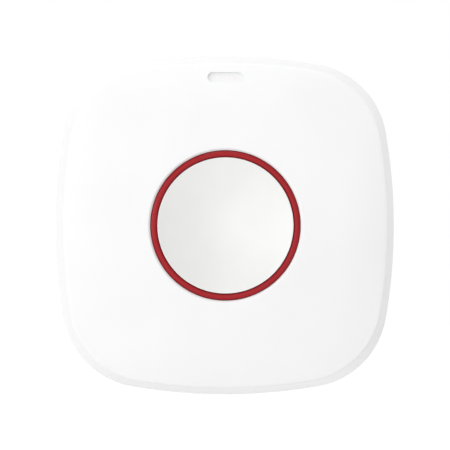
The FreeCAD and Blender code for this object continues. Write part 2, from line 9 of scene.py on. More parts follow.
import logging
from collections.abc import Callable, Sequence
from dataclasses import dataclass, field
from enum import Enum
from math import atan2, cos, hypot, pi, radians, sin, sqrt, tan

import bmesh
import bpy
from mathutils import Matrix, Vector


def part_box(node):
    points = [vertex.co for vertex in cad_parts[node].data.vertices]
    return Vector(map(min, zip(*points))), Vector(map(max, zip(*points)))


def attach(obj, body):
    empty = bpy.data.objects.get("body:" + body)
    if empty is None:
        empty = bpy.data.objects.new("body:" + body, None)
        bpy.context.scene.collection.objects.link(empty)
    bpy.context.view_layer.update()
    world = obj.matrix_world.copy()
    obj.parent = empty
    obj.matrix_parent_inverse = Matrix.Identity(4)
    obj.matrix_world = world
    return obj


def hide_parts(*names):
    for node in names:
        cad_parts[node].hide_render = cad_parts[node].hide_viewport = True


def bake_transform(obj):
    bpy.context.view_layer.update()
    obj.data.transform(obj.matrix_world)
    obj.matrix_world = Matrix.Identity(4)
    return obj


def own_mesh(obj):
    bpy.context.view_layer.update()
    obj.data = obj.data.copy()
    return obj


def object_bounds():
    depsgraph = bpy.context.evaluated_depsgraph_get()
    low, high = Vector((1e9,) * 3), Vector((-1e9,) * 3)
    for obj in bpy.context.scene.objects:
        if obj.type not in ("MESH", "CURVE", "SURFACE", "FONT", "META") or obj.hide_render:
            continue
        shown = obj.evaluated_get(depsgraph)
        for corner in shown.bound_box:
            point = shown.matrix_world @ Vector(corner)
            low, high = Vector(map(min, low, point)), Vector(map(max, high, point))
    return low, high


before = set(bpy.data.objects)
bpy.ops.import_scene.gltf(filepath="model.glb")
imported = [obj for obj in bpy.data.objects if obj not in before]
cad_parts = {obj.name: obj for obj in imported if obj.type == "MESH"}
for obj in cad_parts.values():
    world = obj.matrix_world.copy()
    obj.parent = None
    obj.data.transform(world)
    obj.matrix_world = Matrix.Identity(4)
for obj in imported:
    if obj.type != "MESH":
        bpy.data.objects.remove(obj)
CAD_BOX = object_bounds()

MM = 0.001
TURN = 2 * pi
LOG = logging.getLogger("panic_button")

# Points of a solid that lie closer than this, in metres, are one point.
WELD_GAP = 1e-6
# How far a cutter reaches past what it cuts, and a kept inner form into the new shell.
CLEARANCE, SKIN = 1.0, 0.1
# How far the middle of a rounded edge lies inside its corner, against the rounding's size.
ROUND_SHARE = 0.3
# How far the ring's crown lies below the edge of the housing's bore.
RING_SINK = 0.12
# How far red, green and blue light travel in a plastic, against its whole distance.
SCATTER_SHARES = (1.0, 0.6, 0.5)
# Part of the clouds' range over which one tone runs into the other.
TONE_SPAN = (0.3, 0.7)
# Layers of finer noise in the clouds and in the grain, and how much each layer keeps.
CLOUD_DETAIL, GRAIN_DETAIL, GRAIN_ROUGHNESS = 2.0, 3.0, 0.6

Pair = tuple[float, float]
Row = list[Vector]
Surface = Callable[[float, float], float]
Piece = bpy.types.Object
Tree = bpy.types.NodeTree
Node = bpy.types.Node
Socket = bpy.types.NodeSocket


class Body(Enum):
    """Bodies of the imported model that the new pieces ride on."""

    HOUSING = "housing"
    BUTTON = "button"
    TAMPER = "tamper"


class Cut(Enum):
    """Ways in which one closed mesh changes another."""

    REMOVE = "DIFFERENCE"
    KEEP = "INTERSECT"


def linear(hex_colour: str) -> tuple[float, ...]:
    """Turn six sRGB hex digits, such as "f3f2f0", into linear red, green, blue and alpha."""
    channels = (int(hex_colour[first:first + 2], 16) / 255 for first in (0, 2, 4))
    return (*(c / 12.92 if c <= 0.04045 else ((c + 0.055) / 1.055) ** 2.4 for c in channels), 1.0)


def at(x: float, up: float, height: float) -> Vector:
    """Point given in millimetres across the face, up it and out from the wall."""
    return Vector((x, -height, up)) * MM


def heights(node: str) -> Pair:
    """Heights over the wall, in millimetres, of the back and the front of a node."""
    low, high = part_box(node)
    return -high.y / MM, -low.y / MM


def half_of(node: str) -> float:
    """Half width of a node in millimetres."""
    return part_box(node)[1].x / MM


def add_node(tree: Tree, kind: str, inputs: dict | None = None, **settings: object) -> Node:
    """Add a shader node with its settings and links.

    Args:
        tree: the node tree of a material or the world.
        kind: Blender's name of the node type, after its "ShaderNode".
        inputs: input name or number to a plain value, a socket that feeds it, or a node whose
            first output feeds it.
        settings: attributes of the node.

    Returns:
        The new node.
    """
    node = tree.nodes.new("ShaderNode" + kind)
    for name, value in settings.items():
        setattr(node, name, value)
    for name, value in (inputs or {}).items():
        value = value.outputs[0] if isinstance(value, Node) else value
        if isinstance(value, Socket):
            tree.links.new(value, node.inputs[name])
        else:
            node.inputs[name].default_value = value
    return node


@dataclass(frozen=True)
class Finish:
    """A surface made of one material, with an uneven tone and a fine relief.

    Attributes:
        name: what the material is.
        colour: sRGB hex colour.
        roughness: spread of its reflections.
        metallic: 0 for plastics and ceramics, 1 for bare metal.
        ior: index of refraction.
        coat: strength of a clear top layer.
        coat_roughness: spread of the top layer's reflections.
        scatter: share of light that travels inside the material.
        scatter_mm: how far it travels.
        tone_hex: colour of the faint clouds in the base colour.
        tone_mm: size of the clouds.
        grain_mm: spacing of the relief.
        grain_depth_mm: depth of the relief.
        rough_spread: how much the roughness varies along the grain.
    """

    name: str
    colour: str
    roughness: float
    metallic: float = 0.0
    ior: float = 1.5
    coat: float = 0.0
    coat_roughness: float = 0.1
    scatter: float = 0.0
    scatter_mm: float = 0.5
    tone_hex: str = ""
    tone_mm: float = 12.0
    grain_mm: float = 0.3
    grain_depth_mm: float = 0.004
    rough_spread: float = 0.04

    def material(self) -> bpy.types.Material:
        """Build the node material, or find it where another piece has it already.

        Returns:
            The material.
        """
        if self.name in bpy.data.materials:
            return bpy.data.materials[self.name]
        material = bpy.data.materials.new(self.name)
        material.use_nodes = True
        shader = material.node_tree.nodes["Principled BSDF"]
        self.set_shader(shader)
        place = add_node(material.node_tree, "TexCoord").outputs["Object"]
        self.tone(shader, place)
        self.relief(shader, place)
        return material

    def set_shader(self, shader: Node) -> None:
        """Set the values that are the same all over the surface.

        Args:
            shader: the material's surface shader.
        """
        values = {"Base Color": linear(self.colour), "Metallic": self.metallic,
                  "Roughness": self.roughness, "Coat Weight": self.coat,
                  "Coat Roughness": self.coat_roughness}
        if not self.metallic:
            values["IOR"] = self.ior
        if self.scatter:
            values["Subsurface Weight"] = self.scatter
            values["Subsurface Radius"] = [self.scatter_mm * MM * share for share in SCATTER_SHARES]
            values["Subsurface Scale"] = 1.0
        for name, value in values.items():
            shader.inputs[name].default_value = value

    def tone(self, shader: Node, place: Socket) -> None:
        """Let the base colour drift a little between two tones.

        Args:
            shader: the material's surface shader.
            place: position on the piece.
        """
        tree = shader.id_data
        clouds = add_node(tree, "TexNoise", {
            "Vector": place, "Scale": 1 / (self.tone_mm * MM), "Detail": CLOUD_DETAIL})
        ramp = add_node(tree, "ValToRGB", {"Fac": clouds})
        tones = zip(ramp.color_ramp.elements, (self.tone_hex, self.colour), TONE_SPAN)
        for element, tone, position in tones:
            element.color, element.position = linear(tone), position
        tree.links.new(ramp.outputs["Color"], shader.inputs["Base Color"])

    def relief(self, shader: Node, place: Socket) -> None:
        """Add the fine moulded or rolled relief and the roughness that goes with it.

        Args:
            shader: the material's surface shader.
            place: position on the piece.
        """
        tree = shader.id_data
        grain = add_node(tree, "TexNoise", {
            "Vector": place, "Scale": 1 / (self.grain_mm * MM), "Detail": GRAIN_DETAIL,
            "Roughness": GRAIN_ROUGHNESS})
        rough = add_node(tree, "MapRange", {
            "Value": grain, "To Min": self.roughness - self.rough_spread,
            "To Max": self.roughness + self.rough_spread})
        bump = add_node(tree, "Bump", {
            "Height": grain, "Strength": 1.0, "Distance": self.grain_depth_mm * MM})
        tree.links.new(rough.outputs["Result"], shader.inputs["Roughness"])
        tree.links.new(bump.outputs["Normal"], shader.inputs["Normal"])


# Injection-moulded ABS with a fine spark-eroded grain: an even, slightly soft white whose
# highlights spread. The grain is about 0.1 mm and is drawn three times coarser to show.
HOUSING_ABS = Finish("moulded_white_abs", "f4f4f4", 0.6, tone_hex="f1f1f1", tone_mm=18.0,
                     grain_mm=0.32, grain_depth_mm=0.0015)

# The same ABS with a deeper grain: a little greyer and warmer than the front.
REAR_ABS = Finish("matt_white_abs", "f1f1ef", 0.56, tone_hex="eeeeec", tone_mm=16.0,
                  grain_mm=0.4)

# ABS sprayed with silver-grey lacquer: fine flakes under a satin coat make a soft sheen that
# runs across the dish.
CAP_LACQUER = Finish("silver_grey_lacquer", "d7d7d5", 0.5, metallic=0.6, coat=0.1,
                     coat_roughness=0.35, tone_hex="d3d3d1", tone_mm=9.0, grain_mm=0.22,
                     grain_depth_mm=0.0012, rough_spread=0.06)

# Milky polycarbonate light pipe: white with depth, smoother than the housing.
WINDOW_POLYCARBONATE = Finish("milky_polycarbonate", "f4f3f3", 0.28, ior=1.585, scatter=0.2,
                              scatter_mm=0.7, tone_hex="f2f1f1", grain_depth_mm=0.0008)

# Natural acetal of the carrier and the tamper pin: waxy off-white with a soft shine.
ACETAL = Finish("natural_acetal", "e9e7df", 0.35, ior=1.48, scatter=0.2, tone_hex="e4e2d8",
                grain_mm=0.5, grain_depth_mm=0.002)

# Moulded black nylon of the frame, the holder and the switch: dark with a dry, grainy face.
BLACK_NYLON = Finish("moulded_black_nylon", "1c1c1e", 0.5, ior=1.53, tone_hex="222224",
                     grain_mm=0.25, grain_depth_mm=0.005)

# Dark acetal of the switch's plunger, smooth from its polished mould.
DARK_ACETAL = Finish("dark_acetal", "35363a", 0.34, ior=1.48, tone_hex="2f3034",
                     grain_depth_mm=0.001)

# Clear epoxy lamp resin over a white base: glossy and slightly yellow.
LAMP_RESIN = Finish("lamp_resin", "f2ecc8", 0.12, ior=1.54, scatter=0.4, scatter_mm=0.4,
                    tone_hex="f6f3e2", tone_mm=0.8, grain_depth_mm=0.0005)

# Moulded epoxy of the chip: near black, evenly matt from its eroded mould.
CHIP_EPOXY = Finish("moulded_epoxy", "1a1b1d", 0.62, ior=1.55, tone_hex="202124",
                    grain_mm=0.12, grain_depth_mm=0.003)

# Sintered ceramic of the capacitors: dull tan brown.
CAPACITOR_CERAMIC = Finish("fired_tan_ceramic", "8d6e4f", 0.55, ior=1.6, tone_hex="7f6247",
                           tone_mm=0.6, grain_mm=0.08, grain_depth_mm=0.002)

# Glazed ceramic of the resistors: dark overglaze with a small shine.
RESISTOR_CERAMIC = Finish("glazed_dark_ceramic", "26272b", 0.35, ior=1.6, tone_hex="303137",
                          tone_mm=0.6, grain_mm=0.1, grain_depth_mm=0.001)


@dataclass(frozen=True)
class ShadedEdgeGuide(Finish):
    """Tinted light guide in the form of a ring, with painted shade toward its two edges.

    Attributes:
        edge_shade_hex: sRGB colour of the painted shade at the edges.
        middle_mm: radius of the ring's middle.
        half_mm: half of the ring's width.
        shade_start: share of that half at which the painted shade sets in.
    """

    edge_shade_hex: str = "7c0e18"
    middle_mm: float = 13.7
    half_mm: float = 0.64
    shade_start: float = 0.55

    def tone(self, shader: Node, place: Socket) -> None:
        """Paint shade into the base colour where the crown turns down to the edges.

        Args:
            shader: the material's surface shader.
            place: position on the piece.
        """
        super().tone(shader, place)
        tree, clouds = shader.id_data, shader.inputs["Base Color"].links[0].from_socket
        # Painted shade: the red darkens toward edge_shade_hex near both edges, where the crown
        # turns away from the light.
        flat = add_node(tree, "VectorMath", {0: place, 1: (1.0, 0.0, 1.0)}, operation="MULTIPLY")
        radius = add_node(tree, "VectorMath", {0: flat}, operation="LENGTH")
        aside = add_node(tree, "Math", {
            0: radius.outputs["Value"], 1: self.middle_mm * MM}, operation="SUBTRACT")
        reach = add_node(tree, "Math", {0: aside}, operation="ABSOLUTE")
        depth = add_node(tree, "MapRange", {
            "Value": reach, "From Min": self.shade_start * self.half_mm * MM,
            "From Max": self.half_mm * MM})
        mix = add_node(tree, "Mix", {
            0: depth, 6: clouds, 7: linear(self.edge_shade_hex)}, data_type="RGBA")
        tree.links.new(mix.outputs[2], shader.inputs["Base Color"])


# Red-tinted polycarbonate light guide: deep colour, smooth face, light bleeds inside it. Its
# IOR is below the real 1.585, because the photographed ring hardly shines.
# Its edges carry painted shade, a darker red where the crown turns down.
RING_POLYCARBONATE = ShadedEdgeGuide("red_polycarbonate", "a20a16", 0.36, ior=1.34, scatter=0.15,
                                 scatter_mm=0.4, tone_hex="9a0915", tone_mm=6.0,
                                 grain_mm=0.5, grain_depth_mm=0.0008)


@dataclass(frozen=True)
class RolledMetal(Finish):
    """Sheet or wire with fine drawn lines along one direction.

    Attributes:
        stretch: scale of the pattern along x, y and z, where less than 1 draws it out.
    """

    metallic: float = 1.0
    rough_spread: float = 0.1
    stretch: tuple[float, float, float] = (0.08, 1.0, 1.0)

    def relief(self, shader: Node, place: Socket) -> None:
        """Draw the lines that rolling or drawing left, in the relief and the roughness."""
        drawn = add_node(shader.id_data, "Mapping", {"Vector": place, "Scale": self.stretch})
        super().relief(shader, drawn.outputs["Vector"])


# Spring steel, hard drawn: bright grey with fine lines along the wire and strip.
SPRING_STEEL = RolledMetal("drawn_spring_steel", "b9b8b3", 0.26, tone_hex="aeada8",
                           tone_mm=3.0, grain_mm=0.12, grain_depth_mm=0.002)

# Tin-plated sheet of the switch cover, the radio can and the antenna: soft bright grey.
TIN_PLATE = RolledMetal("tin_plated_sheet", "c9c9c6", 0.3, tone_hex="bebebb", tone_mm=2.5,
                        grain_mm=0.15, grain_depth_mm=0.0015, stretch=(1.0, 1.0, 0.1))

# Zinc-plated screws: pale blue-grey with a satin shine.
ZINC_PLATE = RolledMetal("zinc_plated_steel", "b9bdc3", 0.34, tone_hex="a9aeb8", tone_mm=1.5,
                         grain_mm=0.1, grain_depth_mm=0.001, rough_spread=0.08,
                         stretch=(1.0, 0.2, 1.0))

# Nickel-plated can of the coin cell: warm bright steel with fine rubbed lines.
CELL_NICKEL = RolledMetal("nickel_plated_can", "c6c3bc", 0.24, tone_hex="bbb8b0", tone_mm=5.0,
                          grain_mm=0.2, grain_depth_mm=0.001)


@dataclass(frozen=True)
class SolderMask(Finish):
    """Glass-epoxy board under coloured solder mask, with copper lines showing through it.

    Attributes:
        copper_hex: sRGB colour of the mask where copper lies below it.
        track_mm: spacing of the tracks.
        cell_tracks: number of tracks across one cell of the pattern.
        unevenness: how much the cells are shifted about, from 0 to 1.
    """

    ior: float = 1.52
    grain_mm: float = 0.5
    grain_depth_mm: float = 0.006
    copper_hex: str = "1f6b34"
    track_mm: float = 1.27
    cell_tracks: int = 4
    unevenness: float = 0.7

    def tone(self, shader: Node, place: Socket) -> None:
        """Show the tracks as a lighter tone of the mask, in right-angled runs.

        Args:
            shader: the material's surface shader.
            place: position on the piece.
        """
        tree = shader.id_data
        mix = add_node(tree, "Mix", {
            0: self.tracks(tree, place), 6: linear(self.colour), 7: linear(self.copper_hex)},
            data_type="RGBA")
        tree.links.new(mix.outputs[2], shader.inputs["Base Color"])

    def tracks(self, tree: Tree, place: Socket) -> Socket:
        """Mask that is 1 on a copper track and 0 beside it.

        Args:
            tree: the material's node tree.
            place: position on the piece.

        Returns:
            The mask's socket.
        """
        half_spacing = 1 / (2 * self.cell_tracks)
        cells = add_node(tree, "TexVoronoi", {
            "Vector": place, "Scale": 1 / (self.cell_tracks * self.track_mm * MM),
            "Randomness": self.unevenness}, distance="MANHATTAN", feature="F2")
        bands = add_node(tree, "Math", {0: cells, 1: half_spacing}, operation="PINGPONG")
        return add_node(tree, "Math", {0: bands, 1: half_spacing / 2},
                        operation="GREATER_THAN").outputs[0]


# Green solder mask: glossy, with the copper tracks a lighter green under it.
GREEN_BOARD = SolderMask("green_solder_mask", "0e4a22", 0.3)

# Blue solder mask of the small radio board.
BLUE_BOARD = SolderMask("blue_solder_mask", "12316b", 0.3, copper_hex="214a8f",
                        track_mm=0.8)


def shade(mesh: bpy.types.Mesh, smooth: bool) -> None:
    """Shade all the faces of a mesh smoothly, or all of them flat."""
    mesh.polygons.foreach_set("use_smooth", [smooth] * len(mesh.polygons))


def mesh_piece(name: str, points: Sequence[Vector], faces: Sequence[Sequence[int]]) -> Piece:
    """Make a smooth object from points and faces, with outward normals.

    Args:
        name: name of the piece.
        points: its points, in metres.
        faces: point numbers of each face.

    Returns:
        The new object.
    """
    mesh = bpy.data.meshes.new(name)
    mesh.from_pydata(points, [], faces)
    form = bmesh.new()
    form.from_mesh(mesh)
    bmesh.ops.recalc_face_normals(form, faces=form.faces)
    form.to_mesh(mesh)
    form.free()
    shade(mesh, True)
    piece = bpy.data.objects.new(name, mesh)
    bpy.context.scene.collection.objects.link(piece)
    return piece


def loft(name: str, rows: Sequence[Row], closed: bool = False) -> Piece:
    """Skin a row of closed outlines that have the same number of points.

    Args:
        name: name of the piece.
        rows: the outlines, each in the same order.
        closed: whether the last outline joins the first; otherwise both ends get a face.

    Returns:
        The new object.
    """
    across, count = len(rows[0]), len(rows)
    faces: list[Sequence[int]] = []
    for row in range(count if closed else count - 1):
        here, there = row * across, (row + 1) % count * across
        for column in range(across):
            beside = (column + 1) % across
            faces.append([here + column, here + beside, there + beside, there + column])
    if not closed:
        faces += [range(across)[::-1], range((count - 1) * across, count * across)]
    return mesh_piece(name, [point for row in rows for point in row], faces)


def softened(rows: Sequence[Row], corners: dict[int, float], steps: int = 4) -> list[Row]:
    """Round the corners that a loft makes at some of its outlines.

    Args:
        rows: the outlines.
        corners: number of an outline to the size of its rounding, in millimetres.
        steps: pieces in each rounding.

    Returns:
        The outlines, with several in place of each rounded one.
    """
    result: list[Row] = []
    for number, row in enumerate(rows):
        if number not in corners:
            result.append(row)
            continue
        size = corners[number] * MM
        starts, ends = (
            [p + (q - p).normalized() * min(size, (q - p).length / 2) for p, q in zip(row, other)]
            for other in (rows[number - 1], rows[(number + 1) % len(rows)]))
        for step in range(steps + 1):
            t = step / steps
            result.append([
                a * (1 - t) ** 2 + p * 2 * t * (1 - t) + b * t ** 2
                for a, p, b in zip(starts, row, ends)])
    return result


def applied(piece: Piece) -> Piece:
    """Bake a piece's modifiers into its mesh.

    Args:
        piece: the object, with modifiers.

    Returns:
        The same object, without them.
    """
    graph = bpy.context.evaluated_depsgraph_get()
    mesh = bpy.data.meshes.new_from_object(piece.evaluated_get(graph), depsgraph=graph)
    piece.modifiers.clear()
    old, piece.data = piece.data, mesh
    bpy.data.meshes.remove(old)
    mesh.name = piece.name
    return piece


def combined(piece: Piece, tool: Piece, cut: Cut) -> Piece:
    """Cut a piece with a closed mesh and delete the tool.

    Args:
        piece: what is changed.
        tool: the mesh that cuts it.
        cut: whether the inside of the tool is removed or kept.

    Returns:
        The changed piece.
    """
    modifier = piece.modifiers.new(cut.name.lower(), "BOOLEAN")
    modifier.operation = cut.value
    modifier.solver = "EXACT"
    modifier.object = tool
    applied(piece)
    bpy.data.objects.remove(tool)
    return piece


def copied(name: str, node: str) -> Piece:
    """Copy a node's solid as a closed mesh of its own.

    Args:
        name: name of the copy.
        node: name of the node.

    Returns:
        The new object.
    """
    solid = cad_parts[node]
    mesh = solid.data.copy()
    mesh.name = name
    mesh.transform(solid.matrix_world)
    copy = bpy.data.objects.new(name, mesh)
    bpy.context.scene.collection.objects.link(copy)
    weld = copy.modifiers.new("weld", "WELD")
    weld.merge_threshold = WELD_GAP
    return applied(copy)


def inner_form(node: str, region: Piece) -> Piece:
    """Copy what lies of a node's solid within a region.

    Args:
        node: name of the node.
        region: closed mesh round the part that is wanted.

    Returns:
        The new object.
    """
    copy = combined(copied(node + "_inside", node), region, Cut.KEEP)
    shade(copy.data, False)
    return copy


def join(piece: Piece, other: Piece) -> None:
    """Put the mesh of one object into another.

    Args:
        piece: the object that stays.
        other: the object whose mesh is moved into it.
    """
    form = bmesh.new()
    for source in (piece, other):
        form.from_mesh(source.data)
    form.to_mesh(piece.data)
    form.free()
    bpy.data.objects.remove(other)


def block(x: Pair, up: Pair, height: Pair, angle: float = 0.0) -> Piece:
    """Plain bar used to cut or to add a rib.

    Args:
        x: its two ends across the face.
        up: its two ends up the face.
        height: its two ends out from the wall.
        angle: turn around the button's axis, in degrees.

    Returns:
        The new object.
    """
    spin = radians(angle)
    corners = ((x[0], up[0]), (x[1], up[0]), (x[1], up[1]), (x[0], up[1]))
    piece = loft("bar", [
        [at(a * cos(spin) - b * sin(spin), a * sin(spin) + b * cos(spin), level)
         for a, b in corners] for level in height])
    shade(piece.data, False)
    return piece


def turned(profile: Sequence[Pair], steps: int = 192) -> list[Row]:
    """Ring of points about the button's axis for each radius and height, in millimetres."""
    return [[at(radius * sin(TURN * step / steps), radius * cos(TURN * step / steps),
                height) for step in range(steps)] for radius, height in profile]


def finished(piece: Piece, finish: Finish, body: Body | None, node: str) -> Piece:
    """Give a replacing piece its material, its normals and its place in the model.

    Args:
        piece: the finished mesh.
        finish: what it is made of.
        body: the body that it rides on, or None for a piece that spans two and rides on neither.
        node: the node that it stands for.

    Returns:
        The piece.
    """
    piece.data.materials.clear()
    piece.data.materials.append(finish.material())
    even = piece.modifiers.new("even_normals", "WEIGHTED_NORMAL")
    even.keep_sharp = True
    if body is not None:
        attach(piece, body.value)
    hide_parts(node)
    return piece


@dataclass
class Outline:
    """Rounded square of four long arcs and four corner arcs, each tangent to the next.

    Attributes:
        half_width: half width at the widest level.
        side_radius: radius of a long arc there.
        corner_radius: radius of a corner arc, the same at every level.
        side_steps: pieces in a long arc.
        corner_steps: pieces in a corner arc.
    """

    half_width: float
    side_radius: float = 103.5
    corner_radius: float = 15.85
    side_steps: int = 40
    corner_steps: int = 26

    def pairs(self, half: float, inset: float = 0.0) -> list[Pair]:
        """Points of the outline at one level.

        Args:
            half: half width of the outer wall at this level.
            inset: how far inside it the points lie.

        Returns:
            Pairs across and up the face, clockwise from the top left.
        """
        long_radius = self.side_radius - (self.half_width - half)
        rise = long_radius - half
        between = long_radius - self.corner_radius
        centre = (sqrt(2 * between ** 2 - rise ** 2) - rise) / 2
        lean = atan2(centre, centre + rise)
        quarter = []
        for step in range(self.side_steps):
            angle = lean * (2 * step / self.side_steps - 1)
            reach = long_radius - inset
            quarter.append((reach * sin(angle), reach * cos(angle) - rise))
        for step in range(self.corner_steps):
            angle = lean + (pi / 2 - 2 * lean) * step / self.corner_steps
            reach = self.corner_radius - inset
            quarter.append((centre + reach * sin(angle), centre + reach * cos(angle)))
        points: list[Pair] = []
        for _ in range(4):
            points += quarter
            quarter = [(up, -x) for x, up in quarter]
        return points

    def row(self, half: float, inset: float, height: float) -> Row:
        """Outline at one height over the wall, as points in metres."""
        return [at(x, up, height) for x, up in self.pairs(half, inset)]

    def circle(self, radius: float, height: float) -> Row:
        """Circle whose points, in metres, lie in the directions of the outline's points."""
        return [at(x / hypot(x, up) * radius, up / hypot(x, up) * radius, height)
                for x, up in self.pairs(self.half_width)]


@dataclass
class Housing:
    """Front cover of the button and the window in it.

    Attributes:
        outline: the housing's outline.
        draft: lean of the front cover's side wall, in degrees.
        side_wall: thickness of the side wall.
        face_wall: thickness of the domed face.
        dome_radius: radius of the face.
        bevel_width: width of the sloping band round the face.
        bevel_drop: how far it brings the rim below the dome.
        bevel_blend: height over which the band runs smoothly into the dome.
        squareness: exponent of the rounded square that the band follows.
        bore_radius: radius of the hole for the ring.
        bore_chamfer: bevel round that hole.
        slot_length: length of the status window's hole.
        slot_width: its width.
        slot_inset: its distance from the top of the outline.
        slot_round: rounding of its edge.
        window_round: rounding of the window's edge.
        window_drop: how far the window lies below the face.
        rim_round: rounding where the face meets the side.
        seam_round: rounding of the edge at the seam.
        bore_round: roundings of the bevel's outer and inner edge.
        face_rows: outlines between the rim and the bore.
        ceiling_rows: outlines on the ceiling inside.
        cavity_rows: outlines on the top of the space inside.
        rim_tries: steps of the search for the rim's height.
        seam: height of the cover's open edge.
        bore_edge: height of the face at the bore.
    """

    outline: Outline
    draft: float = 6.2
    side_wall: float = 1.7
    face_wall: float = 2.0
    dome_radius: float = 200.0
    bevel_width: float = 5.0
    bevel_drop: float = 0.9
    bevel_blend: float = 0.8
    squareness: float = 3.5
    bore_radius: float = 14.39
    bore_chamfer: float = 0.4
    slot_length: float = 6.75
    slot_width: float = 1.85
    slot_inset: float = 4.13
    slot_round: float = 0.08
    window_round: float = 0.03
    window_drop: float = 0.5
    rim_round: float = 0.45
    seam_round: float = 0.12
    bore_round: Pair = (0.08, 0.06)
    face_rows: int = 17
    ceiling_rows: int = 4
    cavity_rows: int = 12
    rim_tries: int = 6
    seam: float = field(default_factory=lambda: heights("front_cover")[0])
    bore_edge: float = field(default_factory=lambda: heights("ring_light")[1] + RING_SINK)

    def dome(self, radius: float) -> float:
        """Height of the dome at a distance from the button's axis."""
        fall = sqrt(self.dome_radius ** 2 - radius ** 2)
        return self.bore_edge + fall - sqrt(self.dome_radius ** 2 - self.bore_radius ** 2)

    def face(self, x: float, up: float) -> float:
        """Height of the face: the dome, running smoothly into the band round it.

        Args:
            x: place across the face.
            up: place up the face.

        Returns:
            The height over the wall.
        """
        power = self.squareness
        square = (abs(x) ** power + abs(up) ** power) ** (1 / power)
        edge = self.half(self.dome(self.outline.half_width))
        foot = self.dome(edge) - self.bevel_drop
        slope = (self.dome(edge - self.bevel_width) - foot) / self.bevel_width
        dome, band = self.dome(hypot(x, up)), foot + slope * (edge - square)
        near = max(0.0, 1 - abs(dome - band) / self.bevel_blend)
        return min(dome, band) - self.bevel_blend * near ** 2 / 4

    def ceiling(self, depth: float) -> Surface:
        """Function for the height of a surface that lies this deep below the dome."""
        return lambda x, up: self.dome(hypot(x, up)) - depth

    def half(self, height: float) -> float:
        """Half width of the front cover at a height."""
        return self.outline.half_width - (height - self.seam) * tan(radians(self.draft))

    def rim(self, inset: float, surface: Surface) -> Row:
        """Edge between the side wall and the face, or the same edge inside the cover.

        Args:
            inset: how far inside the side wall.
            surface: the surface that the wall meets.

        Returns:
            The points, in metres.
        """
        points = []
        high = self.outline.pairs(self.half(self.bore_edge), inset)
        wide = self.outline.pairs(self.half(self.seam), inset)
        span = self.bore_edge - self.seam
        for (x, up), (wide_x, wide_up) in zip(high, wide):
            share = 0.0
            for _ in range(self.rim_tries):
                px, pu = x + (wide_x - x) * share, up + (wide_up - up) * share
                share = (self.bore_edge - surface(px, pu)) / span
            points.append(at(px, pu, self.bore_edge - share * span))
        return points

    def draped(self, edge: Row, radius: float, surface: Surface, rows: int) -> list[Row]:
        """Outlines on a surface between its edge and a circle round the button.

        Args:
            edge: the outline where the surface meets the wall.
            radius: radius of the inner circle.
            surface: the surface.
            rows: number of outlines between them.

        Returns:
            The outlines, from the edge inward, with neither end.
        """
        result = []
        circle = self.outline.circle(radius, 0.0)
        for number in range(1, rows + 1):
            share = number / (rows + 1)
            row = []
            for rim, inner in zip(edge, circle):
                x = (rim.x + (inner.x - rim.x) * share) / MM
                up = (rim.z + (inner.z - rim.z) * share) / MM
                row.append(at(x, up, surface(x, up)))
            result.append(row)
        return result

    def front_cover(self) -> Piece:
        """Domed front shell with a rounded rim, the bore and the window slot.

        Returns:
            The finished piece.
        """
        outline, bore, chamfer = self.outline, self.bore_radius, self.bore_chamfer
        inside = self.ceiling(self.face_wall)
        rim, inner_rim = self.rim(0.0, self.face), self.rim(self.side_wall, inside)
        rows = [outline.row(self.half(self.seam), 0.0, self.seam), rim]
        rows += self.draped(rim, bore + chamfer, self.face, self.face_rows)
        edge = len(rows)
        rows += [outline.circle(bore + chamfer, self.dome(bore + chamfer)),
                 outline.circle(bore, self.bore_edge - chamfer),
                 outline.circle(bore, self.bore_edge - self.face_wall)]
        rows += reversed(self.draped(inner_rim, bore, inside, self.ceiling_rows))
        rows += [inner_rim, outline.row(self.half(self.seam), self.side_wall, self.seam)]
        corners = {0: self.seam_round, 1: self.rim_round,
                   edge: self.bore_round[0], edge + 1: self.bore_round[1]}
        shell = loft("front_shell", softened(rows, corners), closed=True)
        combined(shell, self.slot_tool(), Cut.REMOVE)
        join(shell, inner_form("front_cover", self.cavity()))
        return finished(shell, HOUSING_ABS, Body.HOUSING, "front_cover")

    def cavity(self) -> Piece:
        """Space inside the front cover, grown a little into its walls.

        Returns:
            The new object.
        """
        inset, inside = self.side_wall - SKIN, self.ceiling(self.face_wall - SKIN)
        low = self.seam + SKIN
        rim = self.rim(inset, inside)
        rows = [self.outline.row(self.half(low), inset, low), rim]
        rows += self.draped(rim, SKIN, inside, self.cavity_rows)
        return loft("cavity", rows)

    def slot_rows(self, levels: Sequence[Pair], steps: int = 20) -> list[Row]:
        """Round-ended slot outlines near the top edge, at depths that follow the face.

        Args:
            levels: pairs of growth over the slot's size and height over the face.
            steps: pieces in each round end.

        Returns:
            One outline for each level.
        """
        centre = self.outline.half_width - self.slot_inset
        flat = (self.slot_length - self.slot_width) / 2
        rows = []
        for grow, rise in levels:
            radius = self.slot_width / 2 + grow
            row = []
            for side, start in ((1, 0.0), (-1, pi)):
                for step in range(steps + 1):
                    angle = start + pi * step / steps
                    x = side * flat + radius * sin(angle)
                    up = centre + radius * cos(angle)
                    row.append(at(x, up, self.face(x, up) + rise))
            rows.append(row)
        return rows

    def slot_tool(self) -> Piece:
        """Cutter for the window slot, rounded where it meets the face.

        Returns:
            The new object.
        """
        soft, deep, flare = self.slot_round, 2 * self.face_wall, 3 * self.slot_round
        bend = soft * ROUND_SHARE
        return loft("slot_tool", self.slot_rows((
            (0.0, -deep), (0.0, -soft), (bend, -bend), (soft, 0.0), (flare, soft))))

